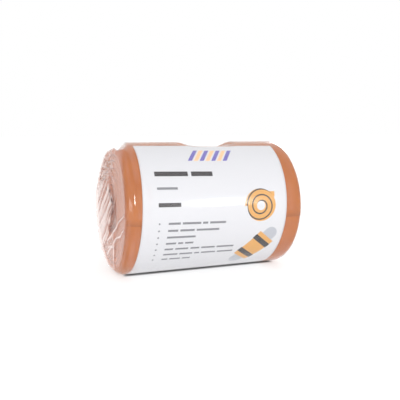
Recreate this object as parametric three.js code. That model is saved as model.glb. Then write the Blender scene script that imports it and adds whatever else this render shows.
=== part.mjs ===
// A flexible splint as it is sold: a foam-padded strip wound into a roll, a paper label laid round the
// roll, and a clear shrink film drawn tight over both and gathered at the two ends.
// Millimetres and degrees, +Z up. The roll's axis runs along X, the label faces -Y, and the roll lies
// on z = 0. An angle round the axis starts at the front (-Y) and grows upwards, over the top to the back.
import * as THREE from "three";

// The strip, 4 1/4 inches wide and a yard long
const strip = {
  length: 914,
  width: 108,
  thickness: 4.5,
  turnGap: 0.3,
  endAngle: -8, // where the free end of the outer turn lies
  endThickness: 1.6, // the free end is squeezed thin under the film
  endTaper: 110, // angle over which it thins
};

// The roll as a soft body
const roll = {
  radius: 39.5, // outside of the foam at the free end
  restSag: 0.9, // how far it settles where it lies
  shoulder: 5.2, // rounding of the outer turns at both ends
  squeezeReach: 12, // depth of foam that gives way under a dent or a shoulder
  bridge: 22, // angle over which the wrap spans the step below the free end
  lean: 0.8, // how far the top of the left end is set back, and its bottom stands out
};

// The shallow dent in the top of the roll, and the nick in the top of its left shoulder, which runs
// slantwise: its angle grows by the slant with each millimetre in from the end
const dent = { depth: 2.6, x: 2.6, halfLength: 23, angle: 93, halfAngle: 24 };
const nick = { depth: 6.2, length: 8, angle: 84, halfAngle: 13, slant: 3.9 };

// The label, a sheet laid on a little askew
const label = {
  width: 92.5,
  x: -3.9, // its middle, at the front
  skew: 2.7, // sideways shift at the top of the roll
  thickness: 0.3,
  topAngle: 70,
  bottomAngle: -123,
};

// The film
const film = {
  wall: 0.35,
  shoulder: 5.8,
  bunchShoulder: 3.0, // tighter corner where the film is bunched up
  bunchAngle: 195, // middle of that bunch, on the left end only
  bunchHalfAngle: 120,
  nickShare: 0.75, // of the nick's depth, because the film spans it
  ventRadius: 4,
};

// Play between neighbouring pieces
const gap = 0.3;

// The folds in the film's two ends, as ridges between two points of the end face: y backwards and z
// upwards from the roll's axis. A ridge falls to nothing at its reach on either side.
const LEFT = -1;
const RIGHT = 1;
const folds = [
  { side: LEFT, from: [6, 34], to: [25, 25], reach: 8.0, rise: 0.8 }, // bunch along the upper back
  { side: LEFT, from: [25, 25], to: [35, 2], reach: 8.0, rise: 0.9 },
  { side: LEFT, from: [8, 19], to: [34, -13], reach: 4.8, rise: 0.9 }, // folds drawn askew
  { side: LEFT, from: [5, 12], to: [25, -23], reach: 4.8, rise: 0.9 },
  { side: LEFT, from: [17, 24], to: [36, -4], reach: 4.4, rise: 0.7 },
  { side: LEFT, from: [1, -19], to: [1, -38], reach: 3.6, rise: 1.0 }, // seam at the bottom
  { side: LEFT, from: [1, -19], to: [-20, -3], reach: 4.0, rise: 0.9 }, // its two branches
  { side: LEFT, from: [1, -19], to: [-18, -13], reach: 4.0, rise: 0.8 },
  { side: RIGHT, from: [0, 16], to: [0, 37], reach: 4.4, rise: 0.9 },
  { side: RIGHT, from: [10, 9], to: [31, 18], reach: 5.2, rise: 0.9 },
  { side: RIGHT, from: [8, -10], to: [24, -27], reach: 5.2, rise: 0.8 },
  { side: RIGHT, from: [-9, -11], to: [-20, -30], reach: 4.8, rise: 0.9 },
  { side: RIGHT, from: [-11, 6], to: [-34, 12], reach: 5.2, rise: 0.8 },
];

// Where each end's gathers meet, as y and z from the axis
const gathers = { [LEFT]: [2, -2.5], [RIGHT]: [-2, 2] };

// How finely the surfaces are cut
const cuts = {
  outerTurn: 48,
  innerTurn: 24,
  film: 60,
  label: 5, // degrees
  shoulderColumns: [0, 3.2, 6], // distances in from the strip's edges
  dentColumns: [-1, -0.5, 0, 0.5, 1], // shares of the dent's half length
  filmColumns: [-30, 36],
  shoulderArcs: [0, 30, 60, 90],
  faceShares: [0.1, 0.24, 0.42, 0.62, 0.82, 1], // from the rim of an end face to its vent
  labelColumns: [0, 0.025, 0.05, 0.075, 1], // shares of the label's width
};

const TURN = 2 * Math.PI;
const radians = THREE.MathUtils.degToRad;
const { clamp, lerp, smoothstep, euclideanModulo } = THREE.MathUtils;
const wrapDepth = gap + label.thickness + gap + film.wall;
const filmEndX = strip.width / 2 + gap + film.wall;
const dentColumns = cuts.dentColumns.map((share) => dent.x + share * dent.halfLength);

// A smooth hump: 1 at 0, falling to 0 at 1 and beyond
function hump(share) {
  const rest = Math.max(0, 1 - share * share);
  return rest * rest;
}

// The wound strip. "back" is the angle wound back from the free end of its outer turn.
function thicknessAt(back) {
  return lerp(strip.endThickness, strip.thickness, smoothstep(back, 0, radians(strip.endTaper)));
}

function outerRadius(back) {
  const step = strip.endThickness + strip.turnGap;
  return back < TURN ? roll.radius - (step * back) / TURN : innerRadius(back - TURN) - strip.turnGap;
}

function innerRadius(back) {
  return outerRadius(back) - thicknessAt(back);
}

// Radius of the tight outline that the foam gives the wrap, which spans the step below the free end.
function outline(angle) {
  const back = euclideanModulo(angle - radians(strip.endAngle), TURN);
  const bridgeStart = TURN - radians(roll.bridge);
  if (back < bridgeStart) return outerRadius(back);
  return lerp(outerRadius(bridgeStart), roll.radius, (back - bridgeStart) / radians(roll.bridge));
}

const bottom = -TURN / 4;
const restHeight = outline(bottom) + wrapDepth - roll.restSag;

// Share of its radius that the settled roll keeps, so that it lies on a flat.
function settled(angle) {
  const downwards = -Math.sin(angle);
  return downwards > 0 ? Math.min(1, restHeight / ((outline(angle) + wrapDepth) * downwards)) : 1;
}

// How far the outline is pressed in by the dent, and by the film that rounds the ends.
function dentAt(x, angle) {
  const along = hump((x - dent.x) / dent.halfLength);
  return dent.depth * along * hump((angle - radians(dent.angle)) / radians(dent.halfAngle));
}

function nickAt(x, angle) {
  const inwards = x + filmEndX;
  const middle = radians(nick.angle + nick.slant * inwards);
  return nick.depth * hump(inwards / nick.length) * hump((angle - middle) / radians(nick.halfAngle));
}

function shoulderAt(x) {
  const past = clamp(Math.abs(x) - strip.width / 2 + roll.shoulder, 0, roll.shoulder);
  return roll.shoulder - Math.sqrt(roll.shoulder ** 2 - past ** 2);
}

// A point at a radius round the axis, in the settled roll.
function place(x, radius, angle) {
  const kept = radius * settled(angle);
  return new THREE.Vector3(x, -kept * Math.cos(angle), kept * Math.sin(angle));
}

// Leans the left end over, and leaves the right end upright.
function leaned(point) {
  const leftShare = 0.5 - point.x / strip.width;
  point.x += (roll.lean * leftShare * point.z) / roll.radius;
  return point;
}

// A point of the soft roll, at a depth below its outline. Foam below the reach stays as it was wound.
function onRoll(x, depth, angle) {
  const wound = euclideanModulo(angle, TURN);
  const pressed = dentAt(x, wound) + Math.max(shoulderAt(x), nickAt(x, wound));
  const share = clamp(1 - depth / roll.squeezeReach, 0, 1);
  return place(x, outline(angle) - depth - pressed * share, angle);
}

// Triangles between neighbouring rings of equally many points.
function skin(rings, closed) {
  const count = rings[0].length;
  const triangles = [];
  rings.slice(0, closed ? rings.length : -1).forEach((ring, i) => {
    const next = (i + 1) % rings.length;
    ring.forEach((point, j) => {
      const k = (j + 1) % count;
      const [a, b] = [i * count + j, i * count + k];
      const [c, d] = [next * count + k, next * count + j];
      triangles.push([a, b, c], [a, c, d]);
    });
  });
  return triangles;
}

// Triangles of the end face between the outer and the inner edge of a ring, both given from left to right.
function endFace(points, outer, inner) {
  const triangles = [];
  let i = 0;
  let j = 0;
  while (i < outer.length - 1 || j < inner.length - 1) {
    const outerX = points[outer[i + 1]]?.x ?? Infinity;
    const innerX = points[inner[j + 1]]?.x ?? Infinity;
    if (outerX <= innerX) triangles.push([outer[i], inner[j], outer[++i]]);
    else triangles.push([outer[i], inner[j], inner[++j]]);
  }
  return triangles;
}

function geometryOf(points, triangles) {
  const geometry = new THREE.BufferGeometry();
  geometry.setFromPoints(points.map(leaned));
  geometry.setIndex(triangles.flat());
  geometry.computeVertexNormals();
  return geometry;
}

// A sheet from rings that each run along its outer side, left to right, and back along its inner side.
function sheetGeometry(rings, outerCount) {
  const points = rings.flat();
  const count = rings[0].length;
  const idsOf = (ring, from, to) => Array.from({ length: to - from }, (_, i) => ring * count + from + i);
  const faceOf = (ring) =>
    endFace(points, idsOf(ring, 0, outerCount), idsOf(ring, outerCount, count).reverse());
  const lastFace = faceOf(rings.length - 1).map(([a, b, c]) => [a, c, b]);
  return geometryOf(points, [...skin(rings, false), ...faceOf(0), ...lastFace]);
}

// The angles, wound back from the free end, at which the strip is cut until its length is used up.
function stripStations() {
  const middle = (back) => outerRadius(back) - thicknessAt(back) / 2;
  const stations = [0];
  let length = 0;
  while (length < strip.length) {
    const back = stations.at(-1);
    const inOuterTurn = stations.length <= cuts.outerTurn;
    const step = TURN / (inOuterTurn ? cuts.outerTurn : cuts.innerTurn);
    const used = Math.min(step, (strip.length - length) / middle(back));
    length += step * middle(back);
    stations.push(back + used);
  }
  return stations;
}

function stripGeometry() {
  const right = cuts.shoulderColumns.map((inwards) => strip.width / 2 - inwards);
  const left = right.map((x) => -x);
  const outerColumns = [...left, ...dentColumns, ...right.toReversed()];
  const innerColumns = [...right, ...left.toReversed()];
  const rings = stripStations().map((back) => {
    const angle = radians(strip.endAngle) + back;
    const outerDepth = outline(angle) - outerRadius(back);
    const innerDepth = outline(angle) - innerRadius(back);
    return [
      ...outerColumns.map((x) => onRoll(x, outerDepth, angle)),
      ...innerColumns.map((x) => onRoll(x, innerDepth, angle)),
    ];
  });
  return sheetGeometry(rings, outerColumns.length);
}

function labelGeometry() {
  const span = label.topAngle - label.bottomAngle;
  const count = Math.ceil(span / cuts.label);
  const rings = Array.from({ length: count + 1 }, (_, i) => {
    const angle = radians(label.bottomAngle + (span * i) / count);
    const middle = label.x + label.skew * Math.sin(angle);
    const columns = cuts.labelColumns.map((share) => middle + (share - 0.5) * label.width);
    return [
      ...columns.map((x) => onRoll(x, -gap - label.thickness, angle)),
      ...columns.toReversed().map((x) => onRoll(x, -gap, angle)),
    ];
  });
  return sheetGeometry(rings, cuts.labelColumns.length);
}

// How far the folds of one end stand out at a point of its face.
function foldRise(side, y, z) {
  const point = new THREE.Vector3(y, z, 0);
  const nearest = new THREE.Vector3();
  return folds
    .filter((fold) => fold.side === side)
    .reduce((rise, fold) => {
      const line = new THREE.Line3(new THREE.Vector3(...fold.from, 0), new THREE.Vector3(...fold.to, 0));
      line.closestPointToPoint(point, true, nearest);
      return Math.max(rise, fold.rise * hump(nearest.distanceTo(point) / fold.reach));
    }, 0);
}

// Rounding of the film at an end: tighter on the left, where it is bunched up.
function filmShoulder(side, angle) {
  if (side === RIGHT) return film.shoulder;
  const wound = euclideanModulo(angle, TURN);
  const bunched = hump((wound - radians(film.bunchAngle)) / radians(film.bunchHalfAngle));
  return lerp(film.shoulder, film.bunchShoulder, bunched);
}

// One end of the film at a depth inside its outer skin, from the shoulder to the vent. Only the outer
// skin carries the folds, where the film lies in several layers.
function filmEnd(side, depth, angles, faceShares) {
  const rise = (y, z) => (depth === 0 ? foldRise(side, y, z) : 0);
  const shoulderRing = (arc) =>
    angles.map((angle) => {
      const centre = filmShoulder(side, angle);
      const [out, along] = [Math.cos(radians(arc)), Math.sin(radians(arc))];
      const reach = centre - depth;
      const bare = outline(angle) + wrapDepth - centre;
      const flat = place(0, bare + reach * out, angle);
      const raised = rise(flat.y, flat.z) * along;
      const x = side * (filmEndX - centre + (reach + raised) * along);
      const pressed = film.nickShare * nickAt(x, euclideanModulo(angle, TURN));
      const radius = Math.min(bare + (reach + raised) * out, bare + reach - pressed);
      return place(x, radius, angle);
    });
  const rim = shoulderRing(90).map((point) => point.setX(0));
  const [gatherY, gatherZ] = gathers[side];
  const faceRing = (share) =>
    angles.map((angle, i) => {
      const y = gatherY - film.ventRadius * Math.cos(angle);
      const z = gatherZ + film.ventRadius * Math.sin(angle);
      const point = rim[i].clone().lerp(new THREE.Vector3(0, y, z), share);
      return point.setX(side * (filmEndX - depth + rise(point.y, point.z)));
    });
  return [...cuts.shoulderArcs.map(shoulderRing), ...faceShares.map(faceRing)];
}

function filmGeometry() {
  const firstAngle = radians(strip.endAngle);
  const angles = Array.from({ length: cuts.film }, (_, i) => firstAngle + (TURN * i) / cuts.film);
  const sleeve = (depth, columns) =>
    columns.map((x) => angles.map((angle) => onRoll(x, depth - wrapDepth, angle)));
  const outer = [
    ...filmEnd(LEFT, 0, angles, cuts.faceShares).reverse(),
    ...sleeve(0, [cuts.filmColumns[0], ...dentColumns, cuts.filmColumns[1]]),
    ...filmEnd(RIGHT, 0, angles, cuts.faceShares),
  ];
  const inner = [
    ...filmEnd(LEFT, film.wall, angles, [1]).reverse(),
    ...sleeve(film.wall, dentColumns),
    ...filmEnd(RIGHT, film.wall, angles, [1]),
  ];
  const rings = [...inner, ...outer.reverse()];
  return geometryOf(rings.flat(), skin(rings, true));
}

const foam = new THREE.MeshStandardMaterial({ color: 0xcb7f50, roughness: 0.75, metalness: 0 });
const paper = new THREE.MeshStandardMaterial({ color: 0xf3f4f6, roughness: 0.55, metalness: 0 });
const clearFilm = new THREE.MeshStandardMaterial({
  color: 0xf4eeec,
  roughness: 0.12,
  metalness: 0,
  transparent: true,
  opacity: 0.25,
});

function named(name, geometry, material) {
  const mesh = new THREE.Mesh(geometry, material);
  mesh.name = name;
  return mesh;
}

const wrappedRoll = new THREE.Group();
wrappedRoll.add(named("splint_strip", stripGeometry(), foam));
wrappedRoll.add(named("label_sheet", labelGeometry(), paper));
wrappedRoll.add(named("shrink_film", filmGeometry(), clearFilm));

// The origin lies under the middle of the roll, on the surface that it lies on.
const extent = new THREE.Box3().setFromObject(wrappedRoll);
const middle = extent.getCenter(new THREE.Vector3());
wrappedRoll.position.set(-middle.x, -middle.y, -extent.min.z);

const splint = new THREE.Group();
splint.add(wrappedRoll);

export default splint;
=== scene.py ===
"""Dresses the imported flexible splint: a foam strip wound into a roll, its paper label and its clear film.

Sizes are in millimetres and degrees, as on the part, until a mesh is written in metres. The roll's axis
runs along X, the label faces -Y, and an angle round the axis starts at the front and grows upwards.
"""

import logging
import math
from dataclasses import dataclass, fields, replace
from enum import Enum
from typing import Any, Callable, Optional, Sequence, Union

import bpy
import numpy as np
from mathutils import Matrix, Vector


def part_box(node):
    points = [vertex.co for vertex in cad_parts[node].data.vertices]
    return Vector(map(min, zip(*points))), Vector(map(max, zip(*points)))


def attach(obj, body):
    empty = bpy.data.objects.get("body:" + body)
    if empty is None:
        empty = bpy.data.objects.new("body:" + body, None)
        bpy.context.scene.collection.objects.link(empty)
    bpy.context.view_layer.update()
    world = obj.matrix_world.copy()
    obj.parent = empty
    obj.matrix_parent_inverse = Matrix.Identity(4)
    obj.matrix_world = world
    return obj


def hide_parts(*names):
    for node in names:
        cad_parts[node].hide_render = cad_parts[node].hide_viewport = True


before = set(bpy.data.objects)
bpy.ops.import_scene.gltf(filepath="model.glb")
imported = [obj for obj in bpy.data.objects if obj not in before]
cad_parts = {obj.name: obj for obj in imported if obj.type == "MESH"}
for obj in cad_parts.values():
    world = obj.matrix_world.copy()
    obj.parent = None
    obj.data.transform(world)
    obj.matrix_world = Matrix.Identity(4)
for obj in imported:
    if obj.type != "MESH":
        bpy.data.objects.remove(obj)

LOG = logging.getLogger("splint")
MM = 0.001
TURN = 2 * math.pi
TINY = 1e-3
BODY = "root"

Number = Union[float, np.ndarray, "SocketValue"]
Ends = tuple[Number, Number]
Place = tuple[Number, Number, Number]
Looks = tuple[np.ndarray, np.ndarray]
Colour = tuple[float, float, float, float]

WHITE: Colour = (1.0, 1.0, 1.0, 1.0)
BLACK: Colour = (0.0, 0.0, 0.0, 1.0)


def srgb(red: int, green: int, blue: int) -> Colour:
    """Turns a colour as it looks on a screen into the linear colour that a shader takes.

    Args:
        red: Red, from 0 to 255.
        green: Green, from 0 to 255.
        blue: Blue, from 0 to 255.

    Returns:
        The linear colour with full alpha.
    """
    shares = [channel / 255 for channel in (red, green, blue)]
    linear = [s / 12.92 if s <= 0.04045 else ((s + 0.055) / 1.055) ** 2.4 for s in shares]
    return linear[0], linear[1], linear[2], 1.0


def hump(share: Number) -> Number:
    """A smooth hump: 1 at a share of 0, falling to 0 at 1 and beyond on either side."""
    rest = np.maximum(0.0, 1 - share * share)
    return rest * rest


def ease(share: Number) -> Number:
    """An eased step: 0 up to a share of 0, and 1 from a share of 1."""
    kept = np.minimum(1.0, np.maximum(0.0, share))
    return kept * kept * (3 - 2 * kept)


def between(ends: Ends, share: Number) -> Number:
    """The number at a share of the way from the first end to the second."""
    return ends[0] + (ends[1] - ends[0]) * share


@dataclass(frozen=True)
class Ramp:
    """An eased way from 0 at its start to 1 at its end, which may be the lower of the two."""

    start: float
    end: float

    def at(self, value: Number) -> Number:
        """Share of the way at a value."""
        return ease((value - self.start) / (self.end - self.start))


@dataclass(frozen=True)
class Swell:
    """A smooth hump round a middle, which ends at its reach on either side."""

    middle: float
    reach: float

    def at(self, value: Number) -> Number:
        """Share of the hump's height at a value."""
        return hump((value - self.middle) / self.reach)


# Expressions that write nodes


class SocketValue:
    """A number that a node tree gives. Python operators and numpy functions on it add Math nodes."""

    OPERATIONS = {
        "add": "ADD",
        "subtract": "SUBTRACT",
        "multiply": "MULTIPLY",
        "divide": "DIVIDE",
        "remainder": "FLOORED_MODULO",
        "minimum": "MINIMUM",
        "maximum": "MAXIMUM",
        "less": "LESS_THAN",
        "greater": "GREATER_THAN",
        "absolute": "ABSOLUTE",
        "floor": "FLOOR",
        "sqrt": "SQRT",
        "sin": "SINE",
        "cos": "COSINE",
        "arctan2": "ARCTAN2",
        "radians": "RADIANS",
    }

    def __init__(self, book: "NodeBook", socket: bpy.types.NodeSocket) -> None:
        """Wraps an output socket of the tree that a book writes."""
        self.book = book
        self.socket = socket

    def __array_ufunc__(self, function: np.ufunc, method: str, *terms: Any,
                        **options: Any) -> "SocketValue":
        """Writes a numpy function of one or two numbers as a Math node."""
        return self.book.math(self.OPERATIONS[function.__name__], *terms)

    def __add__(self, other: Number) -> "SocketValue":
        """self + other"""
        return np.add(self, other)

    def __radd__(self, other: Number) -> "SocketValue":
        """other + self"""
        return np.add(other, self)

    def __sub__(self, other: Number) -> "SocketValue":
        """self - other"""
        return np.subtract(self, other)

    def __rsub__(self, other: Number) -> "SocketValue":
        """other - self"""
        return np.subtract(other, self)

    def __mul__(self, other: Number) -> "SocketValue":
        """self * other"""
        return np.multiply(self, other)

    def __rmul__(self, other: Number) -> "SocketValue":
        """other * self"""
        return np.multiply(other, self)

    def __truediv__(self, other: Number) -> "SocketValue":
        """self / other"""
        return np.divide(self, other)

    def __rtruediv__(self, other: Number) -> "SocketValue":
        """other / self"""
        return np.divide(other, self)

    def __mod__(self, other: Number) -> "SocketValue":
        """self % other"""
        return np.remainder(self, other)

    def __neg__(self) -> "SocketValue":
        """-self"""
        return np.multiply(self, -1.0)

    def __lt__(self, other: Number) -> "SocketValue":
        """1 where self is less than other, else 0"""
        return np.less(self, other)

    def __gt__(self, other: Number) -> "SocketValue":
        """1 where self is greater than other, else 0"""
        return np.greater(self, other)


class NodeBook:
    """Writes one node tree, and is the only place that adds and links nodes."""

    def __init__(self, tree: bpy.types.NodeTree) -> None:
        """Starts on an empty tree."""
        self.tree = tree
        self.tree.nodes.clear()

    @staticmethod
    def socket(sockets: Any, key: Union[int, str]) -> bpy.types.NodeSocket:
        """Finds a socket of a node.

        Args:
            sockets: A node's inputs or outputs.
            key: The socket's place or its name.

        Returns:
            The socket at the place, or the first one in use with the name.
        """
        if isinstance(key, int):
            return sockets[key]
        return next(socket for socket in sockets if socket.enabled and socket.name == key)

    def node(self, kind: str, settings: Optional[dict] = None,
             inputs: Optional[dict] = None) -> bpy.types.Node:
        """Adds a node.

        Args:
            kind: The node's type.
            settings: Its settings, set first. A ramp's stops are pairs of a position and a colour.
            inputs: The values or links of its input sockets, by name or place.

        Returns:
            The node.
        """
        made = self.tree.nodes.new(kind)
        for name, value in (settings or {}).items():
            if name == "stops":
                self.set_stops(made.color_ramp, value)
            else:
                setattr(made, name, value)
        for key, value in (inputs or {}).items():
            self.feed(self.socket(made.inputs, key), value)
        return made

    @staticmethod
    def set_stops(ramp: bpy.types.ColorRamp, stops: Sequence[tuple[float, Colour]]) -> None:
        """Gives a ramp stops that hold their colour up to the next one.

        Args:
            ramp: The ramp.
            stops: Pairs of a position and a colour, in order.
        """
        ramp.interpolation = "CONSTANT"
        while len(ramp.elements) < len(stops):
            ramp.elements.new(1.0)
        for element, (position, colour) in zip(ramp.elements, stops):
            element.position = position
            element.color = colour

    def feed(self, socket: bpy.types.NodeSocket, value: Any) -> None:
        """Links a value to a socket, or sets the socket to it.

        Args:
            socket: The input socket.
            value: A number that the tree gives, an output socket, or a plain value.
        """
        if isinstance(value, SocketValue):
            self.tree.links.new(value.socket, socket)
        elif isinstance(value, bpy.types.NodeSocket):
            self.tree.links.new(value, socket)
        else:
            socket.default_value = value

    def value(self, kind: str, output: Union[int, str] = 0, settings: Optional[dict] = None,
              inputs: Optional[dict] = None) -> SocketValue:
        """Adds a node and gives one of its outputs for use in expressions."""
        return SocketValue(self, self.socket(self.node(kind, settings, inputs).outputs, output))

    def math(self, operation: str, *terms: Number) -> SocketValue:
        """Adds a Math node on one or two terms."""
        return self.value("ShaderNodeMath", 0, {"operation": operation}, dict(enumerate(terms)))

    def vector(self, x: Number, y: Number, z: Number) -> SocketValue:
        """Joins three numbers into a vector."""
        return self.value("ShaderNodeCombineXYZ", 0, None, {"X": x, "Y": y, "Z": z})

    def parts(self, vector: SocketValue) -> tuple[SocketValue, SocketValue, SocketValue]:
        """Splits a vector into its three numbers."""
        split = self.node("ShaderNodeSeparateXYZ", None, {"Vector": vector})
        return tuple(SocketValue(self, output) for output in split.outputs)

    def mix(self, share: Number, low: Any, high: Any) -> SocketValue:
        """Mixes two colours: the low one at a share of 0, the high one at 1."""
        inputs = {"Factor": share, "A": low, "B": high}
        return self.value("ShaderNodeMix", "Result", {"data_type": "RGBA"}, inputs)

    def noise(self, vector: SocketValue, scale: float, detail: float = 2.0) -> SocketValue:
        """Soft noise between 0 and 1 over a vector."""
        inputs = {"Vector": vector, "Scale": scale, "Detail": detail}
        return self.value("ShaderNodeTexNoise", "Fac", None, inputs)

    def bump(self, height: SocketValue, strength: float, distance: float) -> bpy.types.NodeSocket:
        """Adds a Bump node over a height and gives its normal."""
        inputs = {"Strength": strength, "Distance": distance, "Height": height}
        return self.node("ShaderNodeBump", None, inputs).outputs["Normal"]


# The form of the roll, for arrays and for nodes alike


@dataclass(frozen=True)
class RollForm:
    """The soft roll that the pieces lie on: its spiral, the flat under it, its dent and its nick.

    Every size may be a plain number or a socket, so one rule gives arrays of points and writes nodes.
    """

    width: Number = 109.0
    radius: Number = 39.4
    wrap: Number = 0.35
    thickness: Number = 4.9
    turn_gap: Number = 0.12
    end_angle: Number = -6.0
    end_thickness: Number = 0.28
    end_taper: Number = 110.0
    rest_sag: Number = 0.7
    shoulder: Number = 4.8
    squeeze_reach: Number = 12.0
    bridge: Number = 22.0
    lean: Number = 2.4
    lean_reach: Number = 15.0
    dent_depth: Number = 5.8
    dent_x: Number = 5.5
    dent_length: Number = 18.5
    dent_steepness: Number = 1.8
    dent_angle: Number = 98.0
    dent_spread: Number = 33.0
    nick_depth: Number = 8.5
    nick_x: Number = -51.0
    nick_angle: Number = 101.2
    nick_spread: Number = 42.0
    nick_swing: Number = 4.0
    nick_slope: Number = 6.3
    nick_lip: Number = 2.1
    nick_lip_share: Number = 0.51

    def wound_back(self, angle: Number) -> Number:
        """The angle, within one turn, wound back from the free end of the outer turn."""
        return (angle - np.radians(self.end_angle)) % TURN

    def outline(self, angle: Number) -> Number:
        """Radius of the foam's tight outline, which spans the step below the free end.

        Args:
            angle: Angle round the axis, in radians.

        Returns:
            The radius.
        """
        back = self.wound_back(angle)
        bridge = np.radians(self.bridge)
        start = TURN - bridge
        step = (self.end_thickness + self.turn_gap) / TURN
        raised = np.maximum(0.0, (back - start) / bridge)
        return self.radius - step * np.minimum(back, start) + raised * step * start

    def rest_height(self) -> Number:
        """Height of the axis over the surface that the roll lies on."""
        return self.outline(-TURN / 4) + self.wrap - self.rest_sag

    def settled(self, angle: Number) -> Number:
        """Share of its radius that the roll keeps, so that it lies on a flat."""
        downwards = np.maximum(TINY, -1.0 * np.sin(angle))
        return np.minimum(1.0, self.rest_height() / ((self.outline(angle) + self.wrap) * downwards))

    def dent(self, x: Number, angle: Number) -> Number:
        """Depth of the shallow dent in the top.

        Args:
            x: Place along the axis, from the middle of the strip.
            angle: Angle round the axis, in radians.

        Returns:
            The depth.
        """
        along = ease(self.dent_steepness * (1 - np.absolute(x - self.dent_x) / self.dent_length))
        across = (angle % TURN - np.radians(self.dent_angle)) / np.radians(self.dent_spread)
        return self.dent_depth * along * hump(across)

    def nick(self, x: Number, angle: Number) -> Number:
        """Depth of the slanting nick in the top of the left shoulder.

        Args:
            x: Place along the axis, from the middle of the strip.
            angle: Angle round the axis, in radians.

        Returns:
            The depth.
        """
        across = (angle % TURN - np.radians(self.nick_angle)) / np.radians(self.nick_spread)
        past = x - self.nick_x + self.nick_swing * ease(-1.0 * across)
        slope = np.maximum(0.0, 1 - past / self.nick_slope)
        lip = 1 - self.nick_lip_share * np.minimum(1.0, np.maximum(0.0, -1.0 * past / self.nick_lip))
        return self.nick_depth * np.minimum(slope, lip) * hump(across)

    def rounding(self, x: Number) -> Number:
        """How far the outer turns are rounded off towards both ends.

        Args:
            x: Place along the axis, from the middle of the strip.

        Returns:
            The depth below the outline.
        """
        past = np.maximum(0.0, np.absolute(x) - self.width / 2 + self.shoulder)
        past = np.minimum(self.shoulder, past)
        return self.shoulder - np.sqrt(self.shoulder * self.shoulder - past * past)

    def place(self, x: Number, radius: Number, angle: Number) -> Place:
        """A point at a radius round the axis of the settled roll, with the left end leaning.

        Args:
            x: Place along the axis, from the middle of the strip.
            radius: Distance from the axis before the roll settles.
            angle: Angle round the axis, in radians.

        Returns:
            The point's x, y and z from the middle of the axis.
        """
        kept = radius * self.settled(angle)
        z = kept * np.sin(angle)
        return self.leaned(x, z), -1.0 * kept * np.cos(angle), z

    def leaned(self, x: Number, z: Number) -> Number:
        """The place along the axis once the top of the left end is set back."""
        high = np.maximum(0.0, z / self.radius)
        return x + self.lean * high * high * ease(1 - (x + self.width / 2) / self.lean_reach)

    def on_roll(self, x: Number, depth: Number, angle: Number) -> Place:
        """A point at a depth below the foam's outline, pressed in where the foam gives way.

        Args:
            x: Place along the axis, from the middle of the strip.
            depth: Depth below the outline, negative outside it.
            angle: Angle round the axis, in radians.

        Returns:
            The point's x, y and z from the middle of the axis.
        """
        pressed = self.dent(x, angle) + np.maximum(self.rounding(x), self.nick(x, angle))
        share = np.minimum(1.0, np.maximum(0.0, 1 - depth / self.squeeze_reach))
        return self.place(x, self.outline(angle) - depth - pressed * share, angle)

    def strip_thickness(self, back: Number) -> Number:
        """Thickness of the strip at an angle wound back from its free end, which is squeezed thin."""
        return between((self.end_thickness, self.thickness), ease(back / np.radians(self.end_taper)))

    def strip_depth(self, back: Number, through: Number) -> Number:
        """Depth of a point of the wound strip below the outline.

        Args:
            back: Angle wound back from the free end, over all the turns, in radians.
            through: Share of the way through the strip, from its outer side.

        Returns:
            The depth.
        """
        turn = np.floor(back / TURN)
        lap = back % TURN
        covered = np.minimum(turn, 1.0)
        lap_thickness = self.strip_thickness(lap)
        step = (self.end_thickness + self.turn_gap) / TURN
        over = covered * (lap_thickness + self.turn_gap)
        over = over + np.maximum(0.0, turn - 1.0) * (self.thickness + self.turn_gap)
        outer = self.radius - step * lap - over
        own = between((lap_thickness, self.thickness), covered)
        return self.outline(lap + np.radians(self.end_angle)) - outer + through * own


# Mesh helpers


def mesh_object(name: str, points: np.ndarray, quads: np.ndarray) -> bpy.types.Object:
    """Makes a smooth mesh object at the origin.

    Args:
        name: The object's name.
        points: Points in metres, one row each.
        quads: Corners of the faces, four to a row.

    Returns:
        The object, linked to the scene.
    """
    mesh = bpy.data.meshes.new(name)
    mesh.from_pydata(points.tolist(), [], quads.tolist())
    mesh.polygons.foreach_set("use_smooth", [True] * len(mesh.polygons))
    made = bpy.data.objects.new(name, mesh)
    bpy.context.scene.collection.objects.link(made)
    return made


def ring_quads(rings: int, count: int, closed: bool) -> np.ndarray:
    """Faces between neighbouring rings of points.

    Args:
        rings: Number of rings.
        count: Points in each ring, which closes on itself.
        closed: Whether the last ring is joined to the first.

    Returns:
        Corners of the faces, four to a row.
    """
    spans = rings if closed else rings - 1
    ring, place = np.meshgrid(np.arange(spans), np.arange(count), indexing="ij")
    beside = (place + 1) % count
    here, after = ring * count, (ring + 1) % rings * count
    return np.stack([here + place, here + beside, after + beside, after + place], axis=-1).reshape(-1, 4)


def cap_quads(first: int, count: int) -> np.ndarray:
    """Faces that close a ring whose second half runs back along its first half."""
    i = np.arange(count // 2 - 1)
    return first + np.stack([i, count - 1 - i, count - 2 - i, i + 1], axis=-1)


def flat_strip(name: str, section: np.ndarray, stations: np.ndarray) -> bpy.types.Object:
    """Makes a flat strip, closed all round, by repeating its section at stations along it.

    Args:
        name: The object's name.
        section: Pairs of a place across and a depth, whose second half runs back along the first half.
        stations: Places along the strip.

    Returns:
        The object, with a place across, a station and a depth as the coordinates of each point.
    """
    count, rings = len(section), len(stations)
    points = np.empty((rings, count, 3))
    points[..., 0], points[..., 2] = section.T
    points[..., 1] = stations[:, None]
    last = cap_quads((rings - 1) * count, count)[:, ::-1]
    quads = np.concatenate([ring_quads(rings, count, False), cap_quads(0, count), last])
    return mesh_object(name, points.reshape(-1, 3), quads)


def ride_roll(piece: bpy.types.Object, node: str) -> None:
    """Lets a piece stand for a solid of the frame, which it hides, and ride on its body.

    Args:
        piece: The piece.
        node: The solid that it stands for.
    """
    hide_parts(node)
    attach(piece, BODY)


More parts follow.
